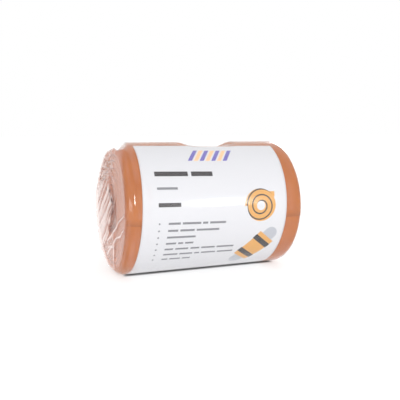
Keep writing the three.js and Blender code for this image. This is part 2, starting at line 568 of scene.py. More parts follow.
class RollTree:
    """A Geometry Nodes tree that lays a flat mesh on the roll by the roll's own rule."""

    def __init__(self, name: str, form: RollForm, axis: Vector) -> None:
        """Starts the tree with one named input for each of the roll's sizes.

        Args:
            name: The tree's name.
            form: The roll's sizes.
            axis: Middle of the roll's axis in the frame, in metres.
        """
        self.tree = bpy.data.node_groups.new(name, "GeometryNodeTree")
        self.axis = axis
        self.book = NodeBook(self.tree)
        face = self.tree.interface
        face.new_socket("Geometry", in_out="INPUT", socket_type="NodeSocketGeometry")
        face.new_socket("Geometry", in_out="OUTPUT", socket_type="NodeSocketGeometry")
        self.sizes: dict[str, float] = {}
        for size in fields(form):
            socket = face.new_socket(size.name, in_out="INPUT", socket_type="NodeSocketFloat")
            self.sizes[socket.identifier] = float(getattr(form, size.name))
        self.start = self.book.node("NodeGroupInput")
        sockets = {size.name: SocketValue(self.book, self.book.socket(self.start.outputs, size.name))
                   for size in fields(form)}
        self.form = replace(form, **sockets)

    def lay(self, piece: bpy.types.Object, rule: Callable[..., Place],
            material: bpy.types.Material) -> None:
        """Lays a flat mesh on the roll and leaves it as a plain mesh.

        Args:
            piece: The flat mesh, which is changed in place.
            rule: Gives a point's place from the axis for the flat mesh's three coordinates.
            material: The finish.
        """
        book = self.book
        x, y, z = rule(self.form, *book.parts(book.value("GeometryNodeInputPosition")))
        offset = book.vector(x * MM + self.axis.x, y * MM + self.axis.y, z * MM + self.axis.z)
        geometry = self.start.outputs[0]
        for kind, inputs in (("GeometryNodeSetPosition", {"Position": offset}),
                             ("GeometryNodeRealizeInstances", {}),
                             ("GeometryNodeSetMaterial", {"Material": material})):
            geometry = book.node(kind, None, {"Geometry": geometry, **inputs}).outputs[0]
        book.node("NodeGroupOutput", None, {"Geometry": geometry})
        modifier = piece.modifiers.new(self.tree.name, "NODES")
        modifier.node_group = self.tree
        for identifier, size in self.sizes.items():
            modifier[identifier] = size
        graph = bpy.context.evaluated_depsgraph_get()
        flat = piece.data
        piece_mesh = bpy.data.meshes.new_from_object(
            piece.evaluated_get(graph), preserve_all_data_layers=True, depsgraph=graph)
        piece.modifiers.remove(modifier)
        piece.data = piece_mesh
        piece_mesh.name = piece.name
        bpy.data.meshes.remove(flat)


# Finishes


class Finish:
    """A material written as nodes."""

    name = "finish"

    def make(self) -> bpy.types.Material:
        """Makes the material.

        Returns:
            The material, with the shader of the finish on its surface.
        """
        material = bpy.data.materials.new(self.name)
        material.use_nodes = True
        book = NodeBook(material.node_tree)
        book.node("ShaderNodeOutputMaterial", None, {"Surface": self.shader(book)})
        return material

    def shader(self, book: NodeBook) -> bpy.types.NodeSocket:
        """Writes the finish's shader and gives its output."""
        raise NotImplementedError

    @staticmethod
    def here(book: NodeBook) -> SocketValue:
        """Object coordinates."""
        return book.value("ShaderNodeTexCoord", "Object")

    @staticmethod
    def surface(book: NodeBook, inputs: dict[str, Any]) -> bpy.types.NodeSocket:
        """Adds a Principled shader and gives its output."""
        return book.node("ShaderNodeBsdfPrincipled", None, inputs).outputs["BSDF"]


@dataclass(frozen=True)
class FoamFinish(Finish):
    """Matt closed-cell foam with fine pores and a faint mottling."""

    name = "orange_foam"
    deep: Colour = srgb(167, 88, 18)
    pale: Colour = srgb(181, 103, 34)
    mottle_scale: float = 130.0
    mottle_detail: float = 4.0
    mottle_ramp: Ramp = Ramp(0.1875, 0.8125)
    pore_scale: float = 1500.0
    pore_gain: float = 1.6
    pore_shade: Ends = (0.75, 1.0)
    # Painted shade of a pore: brightness at its middle, then between pores.
    pore_strength: float = 0.5
    pore_depth: float = 0.00012
    roughness: Ends = (0.72, 0.82)
    specular: float = 0.3

    def shader(self, book: NodeBook) -> bpy.types.NodeSocket:
        """Writes pores as bump and as painted shade in their hollows, and mottling as colour.

        Args:
            book: The material's tree.

        Returns:
            The output of the foam's shader.
        """
        here = self.here(book)
        mottle = book.noise(here, self.mottle_scale, self.mottle_detail)
        inputs = {"Vector": here, "Scale": self.pore_scale}
        pores = book.value("ShaderNodeTexVoronoi", "Distance", None, inputs)
        grain = np.minimum(1.0, pores * self.pore_gain)
        # The colour darkens towards the middle of each pore as painted shade in its hollow.
        pale = self.mottle_ramp.at(mottle) * between(self.pore_shade, grain)
        return self.surface(book, {
            "Base Color": book.mix(pale, self.deep, self.pale),
            "Roughness": between(self.roughness, mottle),
            "Specular IOR Level": self.specular,
            "Normal": book.bump(grain, self.pore_strength, self.pore_depth),
        })


@dataclass(frozen=True)
class PrintRow:
    """A row of plain bars that stands for a printed line, in mm across and down the label."""

    left: float
    down: float
    height: float
    bars: tuple[float, ...]
    gap: float
    bullet: float = 0.0
    bullet_radius: float = 0.55

    def listed(self, step: float, below: Sequence[tuple[float, ...]]) -> tuple["PrintRow", ...]:
        """This row and like ones below it, evenly spaced.

        Args:
            step: Distance from one row down to the next.
            below: The bars of each row below this one.

        Returns:
            The rows, from the top.
        """
        rows = enumerate((self.bars, *below))
        return tuple(replace(self, down=self.down + step * i, bars=bars) for i, bars in rows)

    def mask(self, book: NodeBook, across: SocketValue, down: SocketValue) -> SocketValue:
        """Writes where the row is printed.

        Args:
            book: The tree.
            across: Distance from the label's left edge.
            down: Distance from its top edge.

        Returns:
            1 on the print, else 0.
        """
        span = sum(self.bars) + self.gap * (len(self.bars) - 1)
        stops, at = [], 0.0
        for bar in self.bars:
            stops += [(at / span, WHITE), ((at + bar) / span, BLACK)]
            at += bar + self.gap
        along = across - self.left
        bars = book.value("ShaderNodeValToRGB", "Color", {"stops": stops}, {"Fac": along / span})
        from_line = np.absolute(down - self.down)
        printed = bars * (along > 0.0) * (from_line < self.height / 2)
        if self.bullet:
            aside = along + self.bullet
            away = np.sqrt(aside * aside + from_line * from_line)
            printed = np.maximum(printed, away < self.bullet_radius)
        return printed


@dataclass(frozen=True)
class CoilMark:
    """A small picture of a wound strip with its end drawn out, in mm across and down the label."""

    across: float
    down: float
    radius: float = 10.5
    narrowing: float = 1.7
    pitch: float = 3.4
    line: float = 0.24
    eye: float = 2.72
    tail: float = 9.0
    tail_half: float = 1.53
    tail_up: float = 6.76

    def masks(self, across: SocketValue, down: SocketValue) -> tuple[SocketValue, SocketValue]:
        """Writes the strip's body and the dark lines between its turns.

        Args:
            across: Distance from the label's left edge.
            down: Distance from its top edge.

        Returns:
            The two masks, 1 inside and 0 outside.
        """
        x, y = across - self.across, down - self.down
        away = np.sqrt(x * x + y * y)
        turn = np.arctan2(y, x) / TURN
        wound = (away / self.pitch - turn) % 1.0
        disc = (away < self.radius - self.narrowing * (turn + 0.5)) * (away > self.eye)
        tail = (np.absolute(y + self.tail_up) < self.tail_half) * (x > 0.0) * (x < self.tail)
        return np.maximum(disc, tail), disc * (wound < self.line)


@dataclass(frozen=True)
class SleeveMark:
    """A small picture of a strapped splint on a plain bar, in mm across and down the label."""

    across: float
    down: float
    slant: float = -52.0
    bar_half: float = 4.4
    bar_reach: float = 17.5
    sleeve_half: float = 6.6
    sleeve_reach: float = 10.5
    strap_at: float = 6.0
    strap_half: float = 1.7
    strap_reach: float = 7.0

    def masks(self, across: SocketValue,
              down: SocketValue) -> tuple[SocketValue, SocketValue, SocketValue]:
        """Writes the bar, the sleeve and its straps.

        Args:
            across: Distance from the label's left edge.
            down: Distance from its top edge.

        Returns:
            The three masks, 1 inside and 0 outside.
        """
        turn = math.radians(self.slant)
        x, y = across - self.across, down - self.down
        along = np.absolute(x * math.cos(turn) + y * math.sin(turn))
        aside = np.absolute(y * math.cos(turn) - x * math.sin(turn))
        past = np.maximum(0.0, along - (self.bar_reach - self.bar_half))
        bar = np.sqrt(past * past + aside * aside) < self.bar_half
        sleeve = (along < self.sleeve_reach) * (aside < self.sleeve_half)
        strap = (np.absolute(along - self.strap_at) < self.strap_half) * (aside < self.strap_reach)
        return bar, sleeve, strap


@dataclass(frozen=True)
class PaperFinish(Finish):
    """Smooth white label paper with a plain print: grey dashes, a striped mark and two small pictures."""

    name = "label_paper"
    width: float
    length: float
    paper: Colour = srgb(211, 212, 216)
    dark_ink: Colour = srgb(30, 30, 36)
    soft_ink: Colour = srgb(120, 122, 128)
    orange_ink: Colour = srgb(214, 158, 78)
    grey_ink: Colour = srgb(176, 180, 188)
    violet_ink: Colour = srgb(104, 96, 178)
    peach_ink: Colour = srgb(240, 196, 150)
    headings: tuple[PrintRow, ...] = (
        PrintRow(8.0, 25.6, 3.0, (19.5, 13.0), 2.0),
        PrintRow(9.0, 43.6, 2.3, (13.0,), 1.0),
    )
    rows: tuple[PrintRow, ...] = (
        PrintRow(8.5, 34.4, 1.4, (12.0,), 1.0),
        *PrintRow(15.0, 54.0, 1.25, (7.0, 11.0, 3.0, 10.0), 1.2, 5.2).listed(4.1, (
            (6.0, 8.5, 14.0),
            (17.0,),
            (6.0, 3.0, 5.0),
            (5.0, 8.0, 5.5, 8.5, 11.0),
            (8.5, 8.0, 3.0, 9.0, 10.0),
            (3.5, 6.5, 5.0),
        )),
    )
    coil: CoilMark = CoilMark(across=71.5, down=45.0)
    sleeve: SleeveMark = SleeveMark(across=72.0, down=73.0)
    mark_at: tuple[float, float] = (45.0, 11.5)
    mark_half: tuple[float, float] = (12.6, 4.8)
    mark_slant: float = 0.6
    stripe: float = 3.6
    stripe_ink: float = 2.52
    fibre_scale: float = 700.0
    fibre_detail: float = 3.0
    fibre_strength: float = 0.12
    fibre_depth: float = 0.0001
    roughness: Ends = (0.42, 0.54)

    def shader(self, book: NodeBook) -> bpy.types.NodeSocket:
        """Writes the print over the paper, layer by layer.

        Args:
            book: The material's tree.

        Returns:
            The output of the paper's shader.
        """
        u, v, _ = book.parts(book.value("ShaderNodeTexCoord", "UV"))
        across, down = u * self.width, (1 - v) * self.length
        colour = book.mix(self.stripes(across, down, 0.0), self.paper, self.violet_ink)
        colour = book.mix(self.stripes(across, down, self.stripe), colour, self.peach_ink)
        for ink, rows in ((self.soft_ink, self.rows), (self.dark_ink, self.headings)):
            for row in rows:
                colour = book.mix(row.mask(book, across, down), colour, ink)
        body, turns = self.coil.masks(across, down)
        colour = book.mix(turns, book.mix(body, colour, self.orange_ink), self.dark_ink)
        bar, sleeve, strap = self.sleeve.masks(across, down)
        colour = book.mix(sleeve, book.mix(bar, colour, self.grey_ink), self.orange_ink)
        colour = book.mix(strap, colour, self.dark_ink)
        fibre = book.noise(self.here(book), self.fibre_scale, self.fibre_detail)
        return self.surface(book, {
            "Base Color": colour,
            "Roughness": between(self.roughness, fibre),
            "Normal": book.bump(fibre, self.fibre_strength, self.fibre_depth),
        })

    def stripes(self, across: SocketValue, down: SocketValue, start: float) -> SocketValue:
        """Writes every other slanting stripe of the mark.

        Args:
            across: Distance from the label's left edge.
            down: Distance from its top edge.
            start: Where the first of these stripes starts along the mark.

        Returns:
            1 on the stripes, else 0.
        """
        x, y = across - self.mark_at[0], down - self.mark_at[1]
        slanted = x + y * self.mark_slant
        inside = (np.absolute(slanted) < self.mark_half[0]) * (np.absolute(y) < self.mark_half[1])
        return inside * ((slanted + self.mark_half[0] - start) % (2 * self.stripe) < self.stripe_ink)


@dataclass(frozen=True)
class FilmFinish(Finish):
    """Clear glossy film that turns hazy and crinkled where it is gathered."""

    name = "clear_film"
    thin_veil: Colour = srgb(238, 180, 164)
    thick_veil: Colour = srgb(247, 227, 222)
    # Colour of the painted shade in the slits between folds and between the crumbs.
    shade: Colour = srgb(104, 64, 54)
    veil_ramp: Ramp = Ramp(0.27, 0.7)
    veil_spread: Ends = (0.7, 1.3)
    most_veiled: float = 0.96
    veil_roughness: float = 0.32
    mirrored: Ends = (0.035, 0.65)
    gloss_roughness: float = 0.13
    crinkle_scale: float = 520.0
    crinkle_detail: float = 3.0
    crinkle_strength: float = 0.35
    crinkle_depth: float = 0.0006
    calm_haze: float = 0.18
    calm: float = 0.005
    facing_blend: float = 0.5

    def shader(self, book: NodeBook) -> bpy.types.NodeSocket:
        """Writes gloss over clear film, a veil over both where the film is gathered, and painted shade in
        its slits and between its crumbs.

        Args:
            book: The material's tree.

        Returns:
            The output of the film's shader.
        """
        haze = book.value("ShaderNodeAttribute", "Fac", {"attribute_name": ShrinkFilm.HAZE})
        painted_shade = book.value("ShaderNodeAttribute", "Fac", {"attribute_name": ShrinkFilm.PAINTED_SHADE})
        crinkle = book.noise(self.here(book), self.crinkle_scale, self.crinkle_detail)
        height = crinkle * np.maximum(self.calm, haze - self.calm_haze)
        normal = book.bump(height, self.crinkle_strength, self.crinkle_depth)
        inputs = {"Blend": self.facing_blend, "Normal": normal}
        facing = book.value("ShaderNodeLayerWeight", "Facing", None, inputs)
        squared = facing * facing
        mirrored = between(self.mirrored, squared * squared * facing)
        clear = book.node("ShaderNodeBsdfTransparent")
        gloss = {"Color": WHITE, "Roughness": self.gloss_roughness, "Normal": normal}
        glossy = book.node("ShaderNodeBsdfGlossy", None, gloss)
        layers = {0: mirrored, 1: clear.outputs[0], 2: glossy.outputs[0]}
        bright = book.node("ShaderNodeMixShader", None, layers)
        # Where painted shade is set, the veil turns to the shade colour and hides the gloss.
        veil_colour = book.mix(self.veil_ramp.at(haze), self.thin_veil, self.thick_veil)
        veil = self.surface(book, {
            "Base Color": book.mix(painted_shade, veil_colour, self.shade),
            "Roughness": self.veil_roughness,
            "Normal": normal,
        })
        veiled = np.maximum(haze * between(self.veil_spread, crinkle), painted_shade)
        layers = {0: np.minimum(self.most_veiled, veiled), 1: bright.outputs[0], 2: veil}
        return book.node("ShaderNodeMixShader", None, layers).outputs[0]


@dataclass(frozen=True)
class FloorFinish(Finish):
    """Plain white studio floor that gives off a little light of its own."""

    name = "studio_floor"
    white: Colour = (0.42, 0.42, 0.42, 1.0)
    grey: Colour = (0.39, 0.39, 0.39, 1.0)
    mottle_scale: float = 30.0
    mottle_share: float = 0.05
    roughness: float = 0.9
    glow: float = 0.62
    # Half-sizes and blur of the strip under the roll where the painted contact shadow lies.
    painted_shadow_half: tuple[float, float] = (0.047, 0.0095)
    painted_shadow_blur: float = 0.004

    def shader(self, book: NodeBook) -> bpy.types.NodeSocket:
        """Writes a matt white with a faint mottling, which gives off no light under the roll, so that a
        painted contact shadow lies there.

        Args:
            book: The material's tree.

        Returns:
            The output of the floor's shader.
        """
        here = self.here(book)
        x, y, _ = book.parts(here)
        mottle = book.noise(here, self.mottle_scale) * self.mottle_share
        # The glow is taken off in a strip under the roll, which paints a dark contact shadow there.
        away = np.maximum(np.absolute(x) - self.painted_shadow_half[0], np.absolute(y) - self.painted_shadow_half[1])
        return self.surface(book, {
            "Base Color": book.mix(mottle, self.white, self.grey),
            "Roughness": self.roughness,
            "Emission Color": book.mix(ease(away / self.painted_shadow_blur), BLACK, WHITE),
            "Emission Strength": self.glow,
        })


# The pieces


@dataclass(frozen=True)
class SplintStrip:
    """The foam strip, cut flat with rounded edges and wound up by the roll's rule."""

    form: RollForm
    length: float = 914.0
    edge_radius: float = 1.3
    edge_steps: int = 4
    columns: int = 34
    stations_per_turn: int = 64
    fill: float = 0.9
    name: str = "wound_foam_strip"

    def stations(self) -> np.ndarray:
        """Finds where the strip is cut across, from its free end until its length is used up.

        Returns:
            Angles wound back from the free end, in radians.
        """
        step = TURN / self.stations_per_turn
        backs, used = [0.0], 0.0
        while used < self.length:
            back = backs[-1] + step / 2
            depth = self.form.strip_depth(back, 0.5)
            used += step * (self.form.outline(back + math.radians(self.form.end_angle)) - depth)
            backs.append(backs[-1] + step)
        return np.array(backs)

    def section(self) -> np.ndarray:
        """Draws the strip's cross-section with its rounded edges.

        Returns:
            Pairs of a place across the strip and a share of the way through it.
        """
        half, corner = self.form.width / 2, self.edge_radius
        arcs = np.radians(np.linspace(0, 90, self.edge_steps + 1))
        out = half - corner + corner * np.sin(arcs)
        through = corner * (1 - np.cos(arcs)) / self.form.thickness
        flat = np.linspace(-(half - corner), half - corner, self.columns)[1:-1]
        outer_x = np.concatenate([-out[::-1], flat, out])
        outer_through = np.concatenate([through[::-1], np.zeros_like(flat), through])
        outer = np.stack([outer_x, outer_through], axis=-1)
        inner = np.stack([outer_x[::-1], 1 - outer_through[::-1]], axis=-1)
        return np.concatenate([outer, inner])

    def build(self, axis: Vector, material: bpy.types.Material) -> bpy.types.Object:
        """Args:
            axis: Middle of the roll's axis in the frame.
            material: The foam.

        Returns:
            The piece.
        """
        piece = flat_strip(self.name, self.section(), self.stations())
        RollTree("wind_up_strip", self.form, axis).lay(piece, self.wound, material)
        ride_roll(piece, "splint_strip")
        return piece

    @staticmethod
    def wound(form: RollForm, x: Number, back: Number, through: Number) -> Place:
        """Where a point of the flat strip lies in the roll."""
        return form.on_roll(x, form.strip_depth(back, through), back + np.radians(form.end_angle))


@dataclass(frozen=True)
class LabelSheet:
    """The paper label, laid round the front of the roll a little askew."""

    form: RollForm
    width: float = 88.7
    middle: float = -1.93
    side_slant: float = 2.5
    top_slant: float = 1.7
    top_angle: float = 71.5
    bottom_angle: float = -123.0
    under: float = -0.05
    over: float = -0.2
    columns: int = 70
    rows: int = 130
    past_print: float = 2.0
    name: str = "paper_label"

    def girth(self) -> float:
        """Radius that the sheet is bent to at the front."""
        return float(self.form.outline(0.0)) - self.over

    def flat_length(self) -> float:
        """Length of the sheet round the roll."""
        return math.radians(self.top_angle - self.bottom_angle) * self.girth()

    def build(self, axis: Vector, material: bpy.types.Material) -> bpy.types.Object:
        """Args:
            axis: Middle of the roll's axis in the frame.
            material: The printed paper.

        Returns:
            The piece.
        """
        shares = np.linspace(0, 1, self.columns)
        ring_shares = np.concatenate([shares, shares[::-1]])
        depths = np.repeat([self.over, self.under], self.columns)
        section = np.stack([(ring_shares - 0.5) * self.width, depths], axis=-1)
        up = np.radians(np.linspace(self.bottom_angle, self.top_angle, self.rows)) * self.girth()
        piece = flat_strip(self.name, section, up)
        self.map_print(piece, ring_shares, depths)
        RollTree("lay_label", self.form, axis).lay(piece, self.laid, material)
        ride_roll(piece, "label_sheet")
        self.width * MM
        self.flat_length() * MM
        return piece

    def map_print(self, piece: bpy.types.Object, shares: np.ndarray, depths: np.ndarray) -> None:
        """Maps the outer side for printing, and the inner side beyond the print.

        Args:
            piece: The flat sheet.
            shares: Shares of the width, round one ring.
            depths: Depths, round the same ring.
        """
        mesh = piece.data
        corners = np.empty(len(mesh.loops), dtype=int)
        mesh.loops.foreach_get("vertex_index", corners)
        row, place = np.divmod(corners, len(shares))
        u = shares[place]
        v = row / (self.rows - 1) + np.where(depths[place] == self.under, self.past_print, 0.0)
        mesh.uv_layers.new(name="print").data.foreach_set("uv", np.stack([u, v], axis=-1).ravel())

    def laid(self, form: RollForm, across: Number, up: Number, depth: Number) -> Place:
        """Where a point of the flat sheet lies on the roll.

        Args:
            form: The roll's sizes.
            across: Place across the sheet, from its middle.
            up: Place up the sheet, from the front of the roll.
            depth: Depth below the foam's outline, negative outside it.

        Returns:
            The point's x, y and z from the middle of the axis.
        """
        x = self.middle + across + up * math.tan(math.radians(self.side_slant))
        angle = (up - across * math.tan(math.radians(self.top_slant))) / self.girth()
        return form.on_roll(x, depth, angle)


class End(Enum):
    """The two ends of the roll, by their side along the axis."""

    LEFT = -1
    RIGHT = 1


@dataclass(frozen=True)
class Noise:
    """Smooth seeded noise between 0 and 1 over two coordinates, from a table of cells that repeats."""

    seed: int
    cell: tuple[float, float]
    start: tuple[float, float] = (50.0, 50.0)
    cells: int = 128

    def at(self, first: np.ndarray, second: np.ndarray) -> np.ndarray:
        """The noise at pairs of coordinates.

        Args:
            first: First coordinates.
            second: Second coordinates.

        Returns:
            The noise, in the shape of the coordinates.
        """
        table = np.random.default_rng(self.seed).random((self.cells, self.cells))
        u = first / self.cell[0] + self.start[0]
        v = second / self.cell[1] + self.start[1]
        cell_u, cell_v = np.floor(u).astype(int), np.floor(v).astype(int)
        share_u, share_v = ease(u - cell_u), ease(v - cell_v)
        rows = [(cell_u + step) % self.cells for step in (0, 1)]
        columns = [(cell_v + step) % self.cells for step in (0, 1)]
        low, high = (between((table[row, columns[0]], table[row, columns[1]]), share_v) for row in rows)
        return between((low, high), share_u)


@dataclass(frozen=True)
class Fold:
    """A ridge of gathered film between two points of an end face, by y backwards and z upwards.

    Its left and right reaches are those of someone who looks from start to end with y to the right and z
    upwards.
    """

    sharpness = 1.5

    start: tuple[float, float]
    end: tuple[float, float]
    rise: float
    left: float
    right: float
    haze: float

    def crest(self, y: np.ndarray, z: np.ndarray) -> np.ndarray:
        """Share of the fold's height at points of the end face.

        Args:
            y: Distances backwards from the axis.
            z: Heights over the axis.

        Returns:
            1 on the crest, falling to 0 at the reach of either side.
        """
        dy, dz = self.end[0] - self.start[0], self.end[1] - self.start[1]
        span = math.hypot(dy, dz)
        from_y, from_z = y - self.start[0], z - self.start[1]
        along = np.clip((from_y * dy + from_z * dz) / span ** 2, 0, 1)
        away = np.hypot(from_y - along * dy, from_z - along * dz)
        reach = np.where(from_z * dy - from_y * dz > 0, self.left, self.right)
        return np.maximum(0.0, 1 - away / reach) ** self.sharpness


def folded(folds: Sequence[Fold], y: np.ndarray, z: np.ndarray) -> Looks:
    """Rise and haze that the highest of some folds gives at points of an end face.

    Args:
        folds: The folds.
        y: Distances backwards from the axis.
        z: Heights over the axis.

    Returns:
        How far the film stands out, and how hazy it is.
    """
    crests = [fold.crest(y, z) for fold in folds]
    rise = np.max([fold.rise * crest for fold, crest in zip(folds, crests)], axis=0)
    return rise, np.max([fold.haze * crest for fold, crest in zip(folds, crests)], axis=0)


@dataclass(frozen=True)
class FilmSurface:
    """One skin of the film as rings: where its points are, which way is out, and how far in on an end."""

    x: np.ndarray
    y: np.ndarray
    z: np.ndarray
    out_x: np.ndarray
    out_radial: np.ndarray
    inward: np.ndarray
    side: np.ndarray


@dataclass(frozen=True)
class Tuck:
    """Haze where the film is tucked under the right end in small pleats."""

    low: Swell = Swell(304.0, 30.0)
    near_end: Ramp = Ramp(44.0, 49.0)
    pleats: Noise = Noise(17, (1.5, 1 / 9), (50.0, 0.0))
    pleat_ramp: Ramp = Ramp(0.35, 0.65)
    pleat_share: Ends = (0.35, 1.0)
    haze: float = 0.42

    def at(self, skin: FilmSurface, angle: np.ndarray) -> np.ndarray:
        """Haze of the tucked film.

        Args:
            skin: The outer skin.
            angle: Angles of its points.

        Returns:
            The haze of each point.
        """
        pleat = self.pleat_ramp.at(self.pleats.at(skin.x, angle))
        near = self.low.at(np.degrees(angle)) * self.near_end.at(skin.x)
        return self.haze * near * between(self.pleat_share, pleat)


@dataclass(frozen=True)
class LeftGather:
    """Looks of the left end, where the film is drawn askew to the back and crumpled along its top."""

    sway: tuple[float, float] = (3.0, 1.5)
    sway_y: Noise = Noise(3, (8.0, 5.0), (40.0, 40.0))
    sway_z: Noise = Noise(4, (8.0, 5.0), (40.0, 40.0))
    fold_sway: float = 0.6
    fold_mottle: Noise = Noise(12, (5.0, 3.0))
    fold_haze: Ends = (0.72, 1.22)
    streak_sway: float = 0.5
    streak_way: tuple[float, float] = (0.8, -0.6)
    coarse_streaks: Noise = Noise(5, (4.0, 60.0))
    fine_streaks: Noise = Noise(11, (1.6, 30.0))
    streak_ramp: Ramp = Ramp(0.26, 0.5)
    streak_rise: float = 0.8
    flap_side: Ramp = Ramp(0.0, 2.5)
    flap_top: Ramp = Ramp(22.0, 16.0)
    flap_tilt: float = 0.2
    flap_low: Ramp = Ramp(4.0, -8.0)
    flap_gap_haze: Ends = (0.02, 0.4)
    flap_haze: float = 0.66
    foot_side: Ramp = Ramp(0.0, -3.0)
    foot_top: Ramp = Ramp(-17.0, -21.0)
    foot_front: Ramp = Ramp(-12.0, -9.0)
    foot_haze: float = 0.4
    crumple_angle: float = 124.0
    crumple_round: Ramp = Ramp(58.0, 29.0)
    crumple_inward: Swell = Swell(7.0, 17.0)
    crumbs: Noise = Noise(6, (2.8, 1.4))
    fine_crumbs: Noise = Noise(16, (1.7, 0.9))
    fine_share: float = 0.45
    crumb_tilt: float = 0.4
    crumb_ramp: Ramp = Ramp(0.42, 0.7)
    crumb_rise: Ends = (-1.1, 0.3)
    crumb_haze: Ends = (0.17, 0.63)
    bands: Noise = Noise(7, (3.0, 1 / 1.2), (50.0, 0.0))
    band_haze: Ends = (0.2, 0.34)
    bare_at: tuple[float, float] = (-3.1, -12.0)
    bare_reach: float = 4.5
    bare_share: float = 0.9
    rim: Ends = (1.9, 7.3)
    rim_top: Swell = Swell(86.0, 48.0)
    rim_blur: float = 1.4
    sheen: Noise = Noise(15, (0.9, 1 / 1.4), (50.0, 0.0))
    sheen_ramp: Ramp = Ramp(0.45, 0.8)
    sheen_haze: float = 0.17
    on_face: Ramp = Ramp(-4.0, 0.0)
    # Painted shade in the slits and between the crumbs: its strength, how it fades in from the rim, and its
    # specks.
    slit_shade: float = 1.9
    slit_inward: Ramp = Ramp(0.0, 4.0)
    specks: Noise = Noise(14, (2.4, 0.95))
    speck_ramp: Ramp = Ramp(0.66, 0.8)
    speck_shade: float = 0.6

    folds = (
        Fold((-11, 34), (12, 31), 0.6, 4.0, 3.0, 0.3),
        Fold((12, 31), (27, 17), 0.7, 4.0, 3.0, 0.3),
        Fold((27, 17), (33, 2), 0.7, 4.0, 3.0, 0.3),
        Fold((-1, 17), (-9.4, 8.4), 0.8, 9.0, 1.6, 0.4),
        Fold((-9.4, 8.4), (-12.6, 3), 1.0, 9.0, 1.4, 0.6),
        Fold((-12.6, 3), (-2, -9), 1.1, 8.0, 1.4, 0.7),
        Fold((-2, -9), (2, -15), 1.0, 7.0, 1.4, 0.7),
        Fold((2, -15), (17, -26.5), 0.9, 6.0, 1.4, 0.7),
        Fold((-10.4, -12.3), (-22.5, -4.5), 0.9, 2.4, 2.4, 0.95),
        Fold((-22.5, -4.5), (-36, 1.6), 0.8, 2.0, 2.0, 0.85),
        Fold((-10.4, -12.3), (5, -20), 0.9, 2.4, 2.4, 0.9),
        Fold((-11.3, -17.7), (-26.6, -11), 0.8, 2.2, 2.2, 0.9),
        Fold((-26.6, -11), (-34.5, -7), 0.7, 1.7, 1.7, 0.8),
        Fold((-11.3, -17.7), (6, -28.5), 0.8, 2.2, 2.2, 0.9),
        Fold((-10.4, -12.3), (-10.2, -17.7), 0.8, 2.6, 2.6, 0.7),
        Fold((3, -24), (-9.9, -20.7), 0.6, 1.6, 4.0, 0.8),
        Fold((-11, -19), (-9.4, -27.8), 0.9, 2.2, 2.2, 0.95),
        Fold((-9.4, -27.8), (-10.3, -35), 0.8, 2.2, 2.2, 0.85),
        Fold((0, -34), (-24, -34.5), 0.6, 2.0, 2.0, 0.6),
    )
    # Slits between folds, which get painted shade and do not rise.
    slits = (
        Fold((3.6, 13.5), (8.4, 10.2), 0.0, 2.0, 2.0, 0.9),
        Fold((-4.8, 11.4), (-2.4, 9.0), 0.0, 2.0, 2.0, 0.95),
        Fold((-9.2, 6.8), (-11.6, 4.8), 0.0, 2.4, 2.4, 1.0),
        Fold((-11.3, 1.9), (-8.8, -1.0), 0.0, 2.4, 2.4, 0.9),
        Fold((-23.4, -2.4), (-24.0, -3.4), 0.0, 1.3, 1.3, 0.7),
        Fold((-10.2, -8.6), (-11.0, -9.6), 0.0, 1.8, 1.8, 0.9),
        Fold((-4.6, -10.8), (-1.6, -13.0), 0.0, 2.8, 2.8, 0.65),
        Fold((0.3, 28.6), (0.3, 27.4), 0.0, 1.5, 1.5, 0.9),
        Fold((-19.6, -29.8), (-20.2, -30.4), 0.0, 1.4, 1.4, 0.6),
        Fold((-1.6, -29.4), (-2.2, -29.8), 0.0, 1.4, 1.4, 0.5),
        Fold((-7.0, -24.5), (-7.2, -27.5), 0.0, 1.0, 1.0, 0.5),
    )
    flap_heights = (-30.0, -26.1, -14.7, -9.1, -4.7, 3.0, 8.4, 17.3, 36.0)
    flap_edges = (21.0, 16.4, 2.2, -2.0, -7.3, -12.6, -9.4, -1.4, 6.0)

    def swayed(self, skin: FilmSurface) -> tuple[np.ndarray, np.ndarray]:
        """Places across the end, swayed a little so that nothing on it is quite straight."""
        y = skin.y + self.sway[0] * (self.sway_y.at(skin.y, skin.z) - 0.5)
        return y, skin.z + self.sway[1] * (self.sway_z.at(skin.y, skin.z) - 0.5)

    def streaks(self, y: np.ndarray, z: np.ndarray) -> np.ndarray:
        """Straight streaks that run down to the back.

        Args:
            y: Distances backwards from the axis.
            z: Heights over the axis.

        Returns:
            Share of a streak at each point.
        """
        along = self.streak_way[0] * y + self.streak_way[1] * z
        across = self.streak_way[0] * z - self.streak_way[1] * y
        both = self.coarse_streaks.at(across, along) + self.fine_streaks.at(across, along)
        return self.streak_ramp.at(both / 2)

    def crumpled(self, skin: FilmSurface, angle: np.ndarray) -> np.ndarray:
        """Share of the crumpling along the upper and back edge."""
        away = np.abs(np.degrees(angle) - self.crumple_angle)
        return self.crumple_round.at(away) * self.crumple_inward.at(skin.inward)

    def shade(self, skin: FilmSurface, angle: np.ndarray) -> np.ndarray:
        """Painted shade that shows in the slits and between the crumbs.

        Args:
            skin: The outer skin.
            angle: Angles of its points.

        Returns:
            Share of the dark at each point.
        """
        painted_shade = np.minimum(1.0, self.slit_shade * folded(self.slits, skin.y, skin.z)[1])
        speck = self.speck_ramp.at(self.specks.at(skin.y, skin.z))
        speck = self.speck_shade * self.crumpled(skin, angle) * speck
        return np.maximum(painted_shade * self.slit_inward.at(skin.inward), speck)

